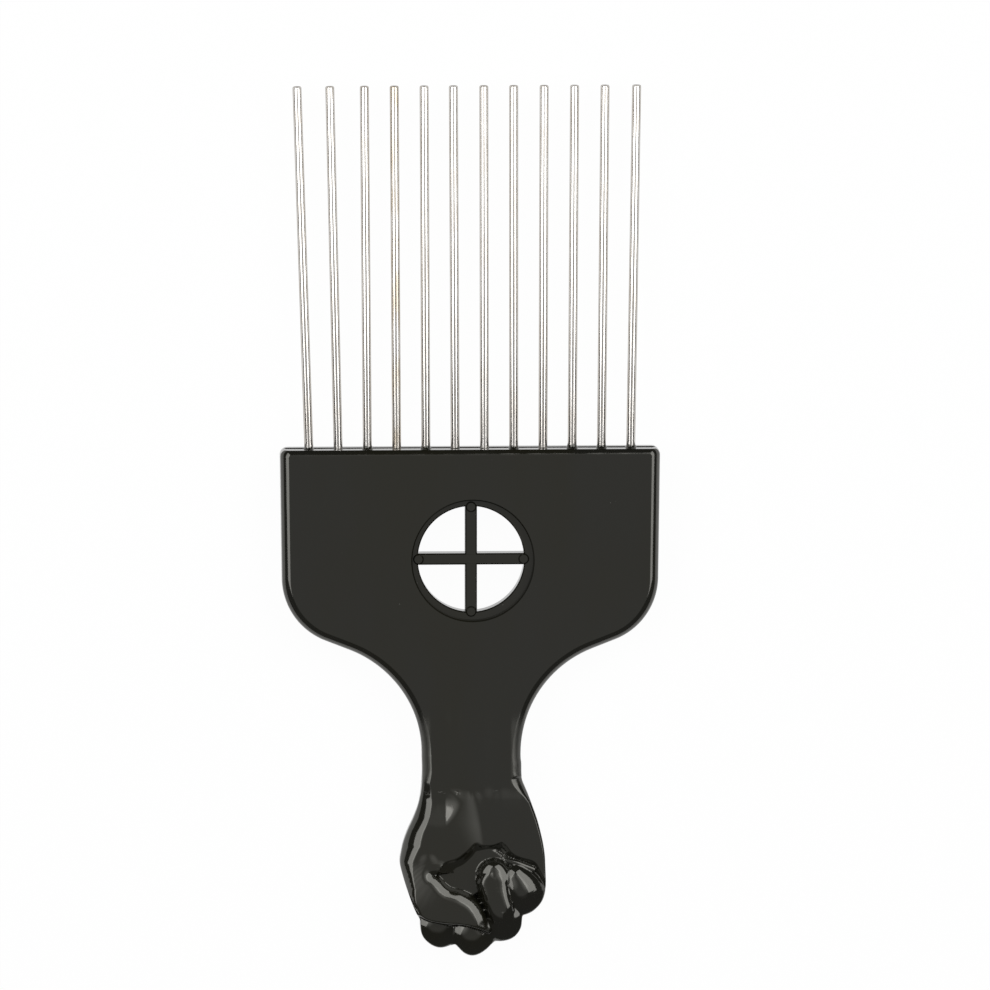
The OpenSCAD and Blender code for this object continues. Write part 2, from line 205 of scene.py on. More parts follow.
steel = nickel()
pattern = wire()
for number, lean in enumerate(TIP_LEANS, 1):
    tine = pattern.copy()
    tine.data = pattern.data.copy()
    tine.name = tine.data.name = f"wire_{number:02d}"
    bpy.context.collection.objects.link(tine)
    root = Vector((tine_x(number), TINE_EDGE, MID_HEIGHT)) * MM
    turn = Matrix.Rotation(-math.atan2(lean, WIRE_OUT), 4, "Z") @ Matrix.Rotation(-math.pi / 2, 4, "X")
    tine.data.transform(Matrix.Translation(root) @ turn)
    bpy.context.view_layer.objects.active = tine
    bpy.ops.object.select_all(action="DESELECT")
    tine.select_set(True)
    bpy.ops.object.shade_smooth_by_angle(angle=math.radians(40))
    on_body(tine, steel, "plated_steel", f"tine_{number:02d}")
bpy.data.objects.remove(pattern)

# Head: the flat part of the moulding, 7 mm of glossy black styrene with rounded edges, whose
# sides run down into the wrist. The tines are moulded in, so thin flash creeps up their roots.
# A round window with a sunk ring on both faces and a cross of two bars is moulded through it.
HALF_PLATE, EDGE_ROUND, EDGE_FULLNESS, EDGE_STEPS = 3.5, 1.9, 0.42, 10
SQUARED, SQUARE_EDGE, SQUARE_CORNER, PARTING_STEP, PARTING_HEIGHT = 0.75, 0.2, 1.5, 0.13, -0.9
FORMER_PLAY, OVERRUN, CORNER_STEPS = 0.02, 1.0, 8
HALF_HEAD, CORNER_ROUND, HEAD_DRAFT = 38.6, 2.0, 0.35
SHOULDER_ROUND, SHOULDER_DEPTH, SHOULDER_TURN = 13.9, 26.4, math.radians(68.7)
HALF_NECK, NECK_SHIFT, HEAD_DEPTH, WRIST_DEPTH = 10.1, 0.25, 62.9, 69.5
WINDOW_DEPTH, WINDOW_RADIUS, RING_RADIUS, RING_SINK = 22.6, 10.9, 12.4, 1.5
WINDOW_X, WINDOW_Y, RING_SHIFT = 0.17, TINE_EDGE - WINDOW_DEPTH, (0.33, -0.22)
UPRIGHT_WIDTH, UPRIGHT_SINK, CROSSBAR_WIDTH, CROSSBAR_SINK, BAR_REACH = 2.45, 0.04, 2.35, 0.02, 0.7
PAD_RADIUS, PAD_HEIGHT, PAD_INSET, CHAMFER = 1.1, 0.35, 0.1, 0.26
FLASH = ((0.92, 0.6), (0.88, 0.35), (0.96, 0.8), (0.86, 0.35), (0.94, 0.8), (0.88, 0.4),
         (0.87, 0.35), (0.94, 0.7), (0.87, 0.35), (1.0, 0.9), (0.96, 0.8), (1.0, 0.7))
SKIRT_ROOT, SKIRT = [(1.5, -0.6)], [(1.5, -0.1), (1.22, 0.12), (1.04, 0.5), (0.93, 0.9)]
SKIRT_WAVE, WAVES_ROUND, WAVE_TURN, SKIRT_SIDES = 0.22, 3, 5, 32
# The second black is a painted sheen: lighter and bluer than the plastic's own greenish black.
GREEN_BLACK, BLUISH_SHEEN_BLACK = (0.0074, 0.007, 0.004, 1), (0.0078, 0.0077, 0.006, 1)
DUST_GREY, STYRENE_RIM, STYRENE_IOR = (0.35, 0.35, 0.33, 1), (1.0, 0.99, 0.92, 1), 1.67
SINKS_START, SINKS_STOP = (5.0, 8.0), (14.2, 14.8)
STREAKS_Y, STREAKS_REACH, FLECKS_Y, FLECKS_REACH = -48.0, (5.0, 14.0), -55.8, (0.15, 0.6)
RUBBED_Y, RUBBED_REACH, RUBBED_EDGE = -47.0, (4.0, 9.0), (7.9, 8.7)
SINK_DEPTH, FLOW_DEPTH, STREAK_DEPTH, SKIN_DEPTH, FLECK_DEPTH = 0.006, 0.16, 0.4, 0.0012, 0.03


def styrene():
    """Glossy black plastic that sank over the buried tines, with flow marks, a painted bluish sheen in
    patches along them, dust and a rubbed wrist.
    """
    finish = Finish("black_styrene")
    x, y = finish.along("X"), finish.along("Y")
    buried = y.step(*SINKS_START) * (1 - y.step(*SINKS_STOP))
    sinks = (x * (2 * math.pi / TINE_PITCH)).math("COSINE") * buried
    flow_and_sheen = finish.noise(scale=0.07, stretch=(1, 0.35, 1))
    skin = finish.noise(scale=1.6, detail=3.0)
    streaks = finish.noise(scale=0.3, detail=0.0, stretch=(1, 0.06, 1)) * y.near(STREAKS_Y, STREAKS_REACH)
    gritty = finish.noise(scale=0.5, detail=3.0, stretch=(1, 2.5, 1)).step(0.58, 0.64)
    flecks = y.near(FLECKS_Y, FLECKS_REACH) * gritty
    rubbed = x.math("ABSOLUTE").step(*RUBBED_EDGE) * y.near(RUBBED_Y, RUBBED_REACH)
    dust = finish.add("ShaderNodeTexVoronoi", {}, {"Vector": finish.place, "Scale": 0.55}, "Distance")
    speck = (1 - dust.step(0.02, 0.045)) * finish.noise(scale=0.11).step(0.55, 0.7)
    # Painted sheen: where the flow noise is high, the black is mixed towards a lighter bluish black that
    # stands in for a soft box's reflection. The same noise also gives the real flow marks their relief.
    tone_and_sheen = finish.mixed(flow_and_sheen.step(0.35, 0.65), GREEN_BLACK, BLUISH_SHEEN_BLACK)
    relief = sinks * SINK_DEPTH + flow_and_sheen * FLOW_DEPTH + streaks * STREAK_DEPTH + skin * SKIN_DEPTH
    return finish.surface({
        "Base Color": finish.mixed(speck * 0.5, tone_and_sheen, DUST_GREY),
        "Roughness": 0.07 + skin * 0.05 + speck * 0.4 + rubbed * 0.3,
        "IOR": STYRENE_IOR,
        "Specular Tint": STYRENE_RIM,
        "Normal": finish.bump(relief - flecks * FLECK_DEPTH),
    })


def on_arc(centre, radius, angles, side=1):
    """Points on an arc, at angles from the x axis; side is -1 where the angles turn the other way."""
    return centre + radius * np.stack([np.cos(angles), side * np.sin(angles)], 1)


def side_of_head():
    """Right side of the head's outline, from the neck up to the tine edge: x, and depth below that edge."""
    normal = np.array([math.cos(SHOULDER_TURN), math.sin(SHOULDER_TURN)])
    shoulder = np.array([HALF_HEAD - SHOULDER_ROUND, SHOULDER_DEPTH])
    neck = np.array([HALF_NECK, HEAD_DEPTH])
    flare_round = (neck @ normal - shoulder @ normal - SHOULDER_ROUND) / (1 - normal[0])
    corner = np.array([HALF_HEAD + HEAD_DRAFT - CORNER_ROUND, CORNER_ROUND - SQUARED])
    turned = np.linspace(0, SHOULDER_TURN, 25)
    quarter = np.linspace(0, math.pi / 2, 9)
    flare = on_arc(neck + [flare_round, 0], -flare_round, turned)
    sides = on_arc(shoulder, SHOULDER_ROUND, turned)[::-1]
    return np.concatenate([flare, sides, on_arc(corner, CORNER_ROUND, quarter, -1)])


def eased(t):
    t = np.clip(t, 0, 1)
    return t * t * (3 - 2 * t)


def place(x, y, z=0.0):
    """Metres in the frame of a place on the moulding: z is above the parting plane."""
    return x * MM, y * MM, (MID_HEIGHT + z) * MM


def plate():
    side = side_of_head()
    outline = np.concatenate([side, side[::-1] * [-1, 1]])
    outline[:, 0] += NECK_SHIFT * eased((outline[:, 1] - SHOULDER_DEPTH) / (HEAD_DEPTH - SHOULDER_DEPTH))
    mesh = bpy.data.meshes.new("head")
    mesh.from_pydata([place(x, TINE_EDGE - depth, -HALF_PLATE) for x, depth in outline], [],
                     [list(range(len(outline)))])
    piece = bpy.data.objects.new("head", mesh)
    bpy.context.collection.objects.link(piece)
    bpy.ops.object.select_all(action="DESELECT")
    bpy.context.view_layer.objects.active = piece
    bpy.ops.object.mode_set(mode="EDIT")
    bpy.ops.mesh.select_all(action="SELECT")
    bpy.ops.mesh.extrude_region_move(TRANSFORM_OT_translate={"value": (0, 0, 2 * HALF_PLATE * MM)})
    bpy.ops.mesh.select_all(action="SELECT")
    bpy.ops.mesh.normals_make_consistent(inside=False)
    bpy.ops.object.mode_set(mode="OBJECT")
    neck_end = (TINE_EDGE - HEAD_DEPTH) * MM
    pick_edges(piece, lambda a, b: same(a.z, b.z) and not same(max(a.y, b.y), neck_end))
    bpy.ops.mesh.bevel(offset=EDGE_ROUND * MM, segments=EDGE_STEPS, profile=EDGE_FULLNESS,
                       clamp_overlap=False)
    bpy.ops.object.mode_set(mode="OBJECT")
    return piece


def carve(piece, tool, operation):
    """Cuts a tool from the piece, or welds it on, and removes the tool."""
    modifier = piece.modifiers.new(operation, "BOOLEAN")
    modifier.operation, modifier.object, modifier.solver = operation, tool, "EXACT"
    bpy.ops.object.select_all(action="DESELECT")
    bpy.context.view_layer.objects.active = piece
    bpy.ops.object.modifier_apply(modifier=modifier.name)
    bpy.data.objects.remove(tool)


def block(name, centre, width, depth, height):
    """A block of the given size round a place on the moulding."""
    piece = start(bpy.ops.mesh.primitive_cube_add, name, size=1)
    size = Matrix.Diagonal((width * MM, depth * MM, height * MM, 1))
    piece.data.transform(Matrix.Translation(place(*centre)) @ size)
    return piece


def edge_former():
    """Block whose far side is the tine edge, with round corners. What the head shares with it keeps a
    square edge."""
    width, depth = 2 * (HALF_HEAD + HEAD_DRAFT + FORMER_PLAY), 1.5 * HEAD_DEPTH
    piece = block("edge_former", (0, TINE_EDGE + SQUARE_EDGE - depth / 2), width, depth, 3 * HALF_PLATE)
    pick_edges(piece, lambda a, b: not same(a.z, b.z) and a.y > 0)
    bpy.ops.mesh.bevel(offset=SQUARE_CORNER * MM, segments=CORNER_STEPS, profile=0.5)
    bpy.ops.object.mode_set(mode="OBJECT")
    return piece


def parting_cutter():
    """Box that leaves the upper half of the tine edge a hair behind the lower."""
    width, depth, height = 2.2 * HALF_HEAD, 3 * OVERRUN, 2 * HALF_PLATE
    edge = TINE_EDGE + SQUARE_EDGE - PARTING_STEP
    return block("parting_cutter", (0, edge + depth / 2, PARTING_HEIGHT + height / 2), width, depth, height)


def turned_piece(name, profile, centre, sides=128):
    """Closed shape turned round a vertical axis through centre, from a profile of radii and heights."""
    ring = on_arc(0, 1, np.arange(sides) * 2 * math.pi / sides)
    points = [place(centre[0] + r * x, centre[1] + r * y, z) for r, z in profile for x, y in ring]
    rows = [range(k * sides, (k + 1) * sides) for k in range(len(profile))]
    faces = [[low[i], low[(i + 1) % sides], high[(i + 1) % sides], high[i]]
             for low, high in zip(rows, rows[1:]) for i in range(sides)]
    faces += [list(rows[0])[::-1], list(rows[-1])]
    mesh = bpy.data.meshes.new(name)
    mesh.from_pydata(points, [], faces)
    piece = bpy.data.objects.new(name, mesh)
    bpy.context.collection.objects.link(piece)
    return piece


def window_cutters():
    """The two sunk rings and the through hole, with their chamfers."""
    floor = HALF_PLATE - RING_SINK
    centre = (WINDOW_X + RING_SHIFT[0], WINDOW_Y + RING_SHIFT[1])
    ring = [(RING_RADIUS, floor), (RING_RADIUS, HALF_PLATE - CHAMFER),
            (RING_RADIUS + CHAMFER + OVERRUN, HALF_PLATE + OVERRUN)]
    rings = [turned_piece("ring", [(r, side * z) for r, z in ring[::side]], centre) for side in (1, -1)]
    hole = [(WINDOW_RADIUS, floor - CHAMFER), (WINDOW_RADIUS + CHAMFER * 1.5, floor + CHAMFER / 2)]
    return rings + [turned_piece("hole", [(r, -z) for r, z in reversed(hole)] + hole, (WINDOW_X, WINDOW_Y))]


def bar(width, depth, sink):
    """One bar of the cross. The bars lie a hair below the ring, the upright lower than the crossbar."""
    piece = block("bar", (WINDOW_X, WINDOW_Y), width, depth, 2 * (HALF_PLATE - RING_SINK - sink))
    along = 0 if width > depth else 1
    pick_edges(piece, lambda a, b: not same(a[along], b[along]))
    bpy.ops.mesh.bevel(offset=CHAMFER * MM, segments=1)
    bpy.ops.object.mode_set(mode="OBJECT")
    return piece


def pad(x, y):
    top = HALF_PLATE - RING_SINK + PAD_HEIGHT
    rim = [(PAD_RADIUS, top - CHAMFER), (PAD_RADIUS - CHAMFER, top)]
    return turned_piece("pad", [(r, -z) for r, z in reversed(rim)] + rim, (x, y), 32)


def skirt(x, size, lift):
    """Skirt of flash where the moulding crept up a tine."""
    profile = [(r, z * lift) for r, z in SKIRT_ROOT] + [(r * size, z * lift) for r, z in SKIRT]
    piece = turned_piece("skirt", profile, (0, 0), SKIRT_SIDES)
    for v in piece.data.vertices:
        v.co.z -= MID_HEIGHT * MM
        turn = WAVES_ROUND * math.atan2(v.co.y, v.co.x) + WAVE_TURN * x
        v.co.z *= 1 + SKIRT_WAVE * math.sin(turn) * (v.co.z > 0)
    piece.data.transform(Matrix.Translation(place(x, TINE_EDGE)) @ Matrix.Rotation(-math.pi / 2, 4, "X"))
    return piece


head = plate()
carve(head, edge_former(), "INTERSECT")
for cutter in (parting_cutter(), *window_cutters()):
    carve(head, cutter, "DIFFERENCE")
reach = 2 * (WINDOW_RADIUS + BAR_REACH)
carve(head, bar(reach, CROSSBAR_WIDTH, CROSSBAR_SINK), "UNION")
carve(head, bar(UPRIGHT_WIDTH, reach, UPRIGHT_SINK), "UNION")
from_middle = WINDOW_RADIUS - PAD_INSET
for x, y in ((1, 0), (0, 1), (-1, 0), (0, -1)):
    carve(head, pad(WINDOW_X + x * from_middle, WINDOW_Y + y * from_middle), "UNION")
for number, (size, lift) in enumerate(FLASH, 1):
    carve(head, skirt(tine_x(number), size, lift), "UNION")

# Fist: the grip, in one with the head. The palm side shows the heel of the hand, the curled fingers and
# the thumb laid over them; the back has four knuckle ridges. Both halves meet at the parting line.
# The outline, the folds and the chains of places that its forms follow are read off the photograph, in its
# pixels. Reaches, rises and heights above the parting line are in millimetres, and so is all of the back.
TIP_BACK, TIP_LEFT = math.radians(7), math.radians(2.5)
PIXEL, WRIST_PIXEL = 0.205, (469.8, 785)
COLUMNS, ROWS, SIDE_CROWDING, KNUCKLE_CROWDING = 176, 224, 0.8, 0.3
NECK_LAP, LEFT_NECK, RIGHT_NECK = 0.06, (-9.84, -5.6), (10.38, -5.6)
LEFT_SIDE = [(422.1, 770), (421.5, 781), (420.2, 793), (417.3, 805), (412.6, 817), (407, 829), (402.7, 841),
             (400, 853), (399.2, 859), (399.8, 865), (403, 877), (406.9, 889), (412, 900, 0.3),
             (416.5, 907, 0.6), (419.3, 914, 0.9), (419.6, 922, 1.0)]
RIGHT_SIDE = [(521, 763), (521.2, 775), (522.4, 781), (524.9, 787), (527.5, 793), (532, 805), (536.2, 817),
              (539.5, 829), (542.2, 841), (544, 853), (544.7, 865, 0.3), (545.2, 877, 0.6), (545.4, 885, 1.0)]
KNUCKLE_LINE = (1.0, [(419.6, 922), (420.6, 931), (423.8, 937.5), (430, 943.2), (436, 946.2), (442, 947),
                      (448, 945.7), (452, 944), (454.5, 943.3), (457, 945.4), (463, 951.6), (469, 954.7),
                      (474, 954.9), (480, 952.6), (486, 948.4), (490.5, 944), (493.5, 941.5), (497, 940.6),
                      (503, 940), (509, 938.4), (514, 935.6), (518, 931), (520.6, 925.5), (521.4, 919),
                      (522.2, 914.5), (526, 913.3), (532, 910.3), (538, 904.9), (542, 899.2), (544.5, 892),
                      (545.4, 885)])
PALM_EDGE = (4.9, [(548.7, 886.7), (543.5, 879.6), (539.3, 871.8), (535.7, 865.5), (530.7, 862.4),
                   (522.9, 860.3), (515.0, 857.2), (510.3, 853.5), (506.4, 848.3), (501.2, 844.1),
                   (497.0, 845.5), (491.5, 846.9), (485.3, 847.2), (479.8, 846.9), (475.4, 845.0),
                   (472.7, 847.2), (469.6, 850.6), (464.9, 854.5), (458.6, 859.2), (452.4, 861.6),
                   (446.9, 863.2), (442.7, 866.3), (439.8, 871.0), (435.9, 874.9)])
THUMB_TOP = (6.0, [(433.9, 876.0), (438.3, 878.8), (442.2, 882.7), (445.3, 886.7), (449.2, 889.8),
                   (453.9, 891.4), (460.2, 893.2), (465.7, 895.8), (470.4, 898.3), (475.1, 901.5),
                   (479.8, 907.0), (482.9, 912.5), (485.3, 918.0), (486.8, 924.3), (488.4, 929.0)])
THUMB_FOOT = (5.6, [(489.7, 933.4), (485.3, 932.1), (479.0, 929.7), (472.7, 927.7), (466.5, 925.8),
                    (460.2, 924.7), (453.9, 924.6), (446.1, 924.1), (436.7, 922.7), (430.4, 921.4),
                    (424.9, 919.3), (421.8, 917.2), (416.3, 914.9)])
# Mounds of the palm: pixel of the middle, reach to the left, to the right and along the fist, rise
THENAR, HYPOTHENAR = (449.2, 852.0, 16, 10.2, 13.1, 1.6), (506.9, 841.2, 10.4, 16, 11.5, 1.15)
PALM_RISE, PALM_RUN, LEFT_DROP, HAND_START, HAND_RUN = 0.75, 8.0, 3.0, -1.2, 3.8
BALL_OF_THUMB, VALLEY_ACROSS, VALLEY_ALONG, VALLEY_ROUND = (445.2, 797.5, 3.6), 0.21, 0.34, 2.0
THUMB_JOINT, JOINT_REACH, JOINT_RISE = (428.1, 861.9, 5.0), 2.2, 0.22
THENAR_SOFT, VALLEY_SOFT, PALM_SOFT, THUMB_SOFT, FINGER_SOFT, HAND_SOFT = 0.05, 0.08, 0.09, 0.14, 0.2, 0.1
# Forms: pixel, half-width in pixels, height
THUMB = [(418.7, 871.0, 26.6, 4.8), (430.4, 886.7, 28.2, 5.5), (444.5, 902.3, 28.2, 6.3),
         (460.2, 908.6, 26.6, 6.6), (474.3, 914.9, 23.5, 6.4), (484.5, 924.3, 17.2, 5.7)]
THUMB_ARC, SHALLOW_WALL, THUMB_FALL, THUMB_FALL_WIDTH = 0.19, 0.5, 0.135, 2.6
LIP, THUMB_STEEPNESS, PALM_STEEPNESS, STEEPNESS_SHIFT = 0.35, 4.0, 0.6, 0.5
RING_FINGER = [(494.7, 885.1, 14.1, 6.25), (498.7, 901.5, 12.5, 6.4), (501.6, 910.2, 12.8, 6.15),
               (503.4, 918.0, 11.9, 5.3), (504.4, 921.9, 10.3, 4.4)]
RING_TIP = [(494.4, 877.0, 16.3, 6.1), (495.9, 879.6, 16.3, 6.15)]
RING_END = [(505.3, 918.3, 19.7, 5.6), (504.4, 922.4, 21.0, 5.5)]
LITTLE_FINGER = [(516.0, 880.1, 13.2, 5.85), (521.3, 890.4, 19.7, 6.1), (522.9, 895.4, 23.2, 5.75)]
INDEX_KNUCKLE = [(437.0, 925.2, 23.8, 4.9), (438.6, 925.5, 23.8, 4.9)]
MIDDLE_KNUCKLE = [(471.5, 933.5, 23.5, 5.0), (473.0, 933.7, 23.5, 5.0)]
POCKET = [(446.9, 879.1, 10.3, 3.7), (453.9, 880.7, 14.9, 3.75), (464.1, 878.8, 19.1, 3.8),
          (473.0, 871.0, 16.9, 3.8), (480.9, 861.6, 13.2, 3.85), (490.0, 857.2, 7.8, 3.95),
          (500.1, 859.7, 4.1, 4.0)]
SKIN_FOLD = [(505.6, 860.7, 2.2, 4.3), (518.2, 865.0, 2.8, 4.5), (533.0, 870.4, 2.5, 4.3)]
ROUND = (2, 2)
# Each finger's forms: how far round it is, how square on each side, and its chain
FINGERS = [[(0.95, (7, 3.2), RING_FINGER), (0.9, (2.6, 2.6), RING_TIP), (0.72, ROUND, RING_END)],
           [(0.76, ROUND, LITTLE_FINGER)], [(0.67, ROUND, INDEX_KNUCKLE)], [(0.67, ROUND, MIDDLE_KNUCKLE)],
           [(0.06, ROUND, POCKET)], [(0.5, ROUND, SKIN_FOLD)]]
TENDONS = [[(448.4, 726.9, 4.7, 0.12), (447.7, 762.9, 3.8, 0.03)],
           [(482.4, 734.7, 4.1, 0.14), (481.3, 758.2, 2.5, 0.04)]]
TENDON_ARC = 0.5
# How the palm side is rounded at its outline, down each side: y from the wrist, width, power of the curve
LEFT_ROUND = [(-8, 1.9, 1.6), (-3, 1.9, 1.6), (-0.8, 1.6, 1.5), (1, 2.1, 1.45), (3, 2.5, 1.45),
              (6, 2.9, 1.45), (9, 3.0, 1.45), (12, 3.5, 1.45), (15.5, 2.7, 1.6), (17.5, 2.0, 1.3),
              (21, 1.5, 1.2), (24, 0.4, 1.5), (27, 0.15, 2), (40, 0.15, 2)]
RIGHT_ROUND = [(-8, 1.9, 1.6), (-3, 1.9, 1.6), (-2.1, 1.5, 1.4), (-1.6, 2.5, 1.7), (-0.4, 2.25, 1.7),
               (1, 1.6, 1.6), (2, 1.0, 1.4), (3.2, 0.5, 1.15), (18, 0.3, 1.3), (22, 0.15, 2), (40, 0.15, 2)]
PINCH, PINCH_START, PINCH_STOP, PINCH_RUN = 0.15, -3, 15, 3
BACK_MOUND = [(0.3, 3.5, 10.2, 3.6), (0.6, 15.7, 13.8, 4.7), (1.2, 23, 12, 4.7)]
BACK_RIDGES = [
    [(-6, 27.8, 3.9, 5.2), (-4.5, 15.7, 3.3, 4.6)], [(0.6, 29.2, 3.9, 5.5), (0.3, 15.7, 3.3, 4.95)],
    [(6.6, 26.8, 3.6, 5.3), (4.5, 14.6, 3, 4.8)], [(11.7, 21.6, 3.3, 4.6), (8.1, 12.2, 3, 4.3)],
    [(-8.7, 10.4, 4.8, 2.75), (-10.5, 16, 3.6, 2.75)],
]
MOUND_ROUND, RIDGE_ROUND, BACK_SOFT, BACK_EDGE = 0.3, 0.36, 0.4, 5.1
HAND_FLOOR, NECK_BLEND, LEAST_SIDE, PARTING_LAND = 1.2, 9.0, 0.1, 0.06


def shown_at(px, py, height=0.0):
    """Place of what a pixel shows at a height: millimetres right of the wrist's middle, and towards the
    knuckles. The camera is tipped, so what stands higher shows a little further right and down."""
    x = (px - WRIST_PIXEL[0]) * PIXEL - height * math.tan(TIP_LEFT)
    return x, (py - WRIST_PIXEL[1]) * PIXEL / math.cos(TIP_BACK) - height * math.tan(TIP_BACK)


def form(chain):
    """Places, half-widths and heights in millimetres of a chain read in pixels."""
    return [(*shown_at(px, py, height), half_width * PIXEL, height) for px, py, half_width, height in chain]


def smooth_curve(points, steps=8):
    """Points along a smooth curve that passes through all the points given."""
    points = np.array(points, float)
    ends = np.concatenate([points[:1], points, points[-1:]])
    t = np.linspace(0, 1, steps, endpoint=False)[:, None]
    spans = [0.5 * (2 * b + (c - a) * t + (2 * a - 5 * b + 4 * c - d) * t**2 + (3 * b - a - 3 * c + d) * t**3)
             for a, b, c, d in zip(ends, ends[1:], ends[2:], ends[3:])]
    return np.concatenate([*spans, points[-1:]])


def traced(height, pixels, steps=4):
    """Smooth curve through pixels that all show one height."""
    return smooth_curve([shown_at(px, py, height) for px, py in pixels], steps)


def highest(heights, softness):
    top = np.maximum.reduce(heights)
    return top + softness * np.log(sum(np.exp((h - top) / softness) for h in heights))


def lowest(heights, softness):
    return -highest([-h for h in heights], softness)


def swept(x, y, chain, arc, square=ROUND, wall=2.6):
    """Height of a form swept along a chain of places, each x, y, half-width, height. arc is 1 for half round
    and less for a shallow form. square is 2 for a round side and more for a flat top, left and right."""
    best = np.full_like(x, -99.0)
    path = smooth_curve(chain, 6)
    for a, b in zip(path, path[1:]):
        run = b - a
        t = np.clip(((x - a[0]) * run[0] + (y - a[1]) * run[1]) / (run[0] ** 2 + run[1] ** 2 + 1e-9), 0, 1)
        radius, height = a[2] + t * run[2], a[3] + t * run[3]
        off_x, off_y = x - a[0] - t * run[0], y - a[1] - t * run[1]
        q = np.hypot(off_x, off_y) / radius
        power = np.where(off_x * run[1] - off_y * run[0] < 0, square[0], square[1])
        fall = (1 - (1 - (arc * np.clip(q, 0, 1)) ** power) ** (1 / power)) / arc
        best = np.maximum(best, height - radius * (fall + wall * np.maximum(q - 1, 0)))
    return best


def dome(x, y, px, py, reach_left, reach_right, reach_y, rise):
    """Height of a shallow oval mound on the palm."""
    middle_x, middle_y = shown_at(px, py, HALF_PLATE + rise)
    u = np.abs(x - middle_x) / np.where(x < middle_x, reach_left, reach_right)
    return HALF_PLATE + rise * (1 - u**3 - ((y - middle_y) / reach_y) ** 2)


def bump_of_joint(x, y):
    middle_x, middle_y = shown_at(*THUMB_JOINT)
    return JOINT_RISE * np.clip(1 - ((x - middle_x) ** 2 + (y - middle_y) ** 2) / JOINT_REACH**2, 0, 1) ** 2


def distance_to(x, y, line):
    found = np.full(x.shape, 99.0)
    for (ax, ay), (bx, by) in zip(line, line[1:]):
        run_x, run_y = bx - ax, by - ay
        t = np.clip(((x - ax) * run_x + (y - ay) * run_y) / (run_x**2 + run_y**2 + 1e-9), 0, 1)
        found = np.minimum(found, np.hypot(x - ax - t * run_x, y - ay - t * run_y))
    return found


def within(x, y, line):
    """Whether each place is inside a closed line."""
    found = np.zeros(x.shape, bool)
    for (ax, ay), (bx, by) in zip(line, np.roll(line, -1, 0)):
        if ay != by:
            found ^= ((y < ay) != (y < by)) & (x < ax + (y - ay) * (bx - ax) / (by - ay))
    return found


def rounded_edge(depth, width, height, power=2):
    """Rise of a rounded edge from 0 at the outline; a power under 2 makes it nearer to a chamfer."""
    q = np.clip(1 - depth / width, 0, 1)
    return height * (1 - q**power) ** (1 / power)


def palm_and_thumb(x, y):
    """Heel of the hand and the thumb, one surface, cut off steeply at the palm's fold and round the thumb."""
    plain = HALF_PLATE + PALM_RISE * eased(y / PALM_RUN)
    ball_x, ball_y = shown_at(*BALL_OF_THUMB)
    side = HALF_PLATE + VALLEY_ACROSS * np.maximum(x - ball_x, 0)
    side += VALLEY_ALONG * (np.hypot(np.maximum(y - ball_y, 0), VALLEY_ROUND) - VALLEY_ROUND)
    thenar = lowest([highest([dome(x, y, *THENAR), plain], THENAR_SOFT), side], VALLEY_SOFT)
    body = highest([thenar, dome(x, y, *HYPOTHENAR), plain - LEFT_DROP * (x < 0)], PALM_SOFT)
    body += sum(swept(x, y, form(t), TENDON_ARC, wall=SHALLOW_WALL).clip(0) for t in TENDONS)
    body += bump_of_joint(x, y)
    body = highest([body, swept(x, y, form(THUMB), THUMB_ARC, wall=SHALLOW_WALL)], THUMB_SOFT)
    body = HALF_PLATE + (body - HALF_PLATE) * eased((y - HAND_START) / HAND_RUN)
    palm, top, foot = traced(*PALM_EDGE), traced(*THUMB_TOP), traced(*THUMB_FOOT)
    far = 60.0
    edge = np.concatenate([palm, top, foot])
    closed = np.concatenate([edge, [(-far, foot[-1, 1]), (-far, -far), (far, -far), (far, palm[0, 1])]])
    depth = distance_to(x, y, edge) * np.where(within(x, y, closed), 1, -1)
    from_thumb, from_palm = distance_to(x, y, top), distance_to(x, y, palm)
    body -= THUMB_FALL * np.maximum(THUMB_FALL_WIDTH - from_thumb, 0) ** 2
    beside_palm = eased(from_thumb - from_palm + STEEPNESS_SHIFT)
    steepness = THUMB_STEEPNESS + (PALM_STEEPNESS - THUMB_STEEPNESS) * beside_palm
    return body - LIP + rounded_edge(depth, LIP, LIP) + steepness * np.minimum(depth, 0)


def palm_side(x, y, depth):
    """Height of the palm side above the parting plane."""
    forms = [highest([swept(x, y, form(chain), arc, square) for arc, square, chain in finger], FINGER_SOFT)
             for finger in FINGERS]
    hand = highest([palm_and_thumb(x, y), np.full_like(x, HAND_FLOOR), *forms], HAND_SOFT)
    (left, *left_sides), (right, *right_sides) = np.array(LEFT_ROUND).T, np.array(RIGHT_ROUND).T
    width, power = (np.where(x < 0, np.interp(y, left, on_left), np.interp(y, right, on_right))
                    for on_left, on_right in zip(left_sides, right_sides))
    pinched = PINCH * (eased((y - PINCH_START) / PINCH_RUN) - eased((y - PINCH_STOP) / PINCH_RUN))
    drop = np.minimum(width * (1 - pinched), hand - LEAST_SIDE)
    return hand - drop + rounded_edge(depth, width, drop, power)


def swept_shallow(x, y, chain, roundness):
    best = np.full_like(x, -99.0)
    for a, b in zip(np.array(chain), np.array(chain)[1:]):
        run = b - a
        t = np.clip(((x - a[0]) * run[0] + (y - a[1]) * run[1]) / (run[0] ** 2 + run[1] ** 2), 0, 1)
        radius = a[2] + t * run[2]
        q = np.hypot(x - a[0] - t * run[0], y - a[1] - t * run[1]) / radius
        best = np.maximum(best, a[3] + t * run[3] - radius * roundness * q * q)
    return best


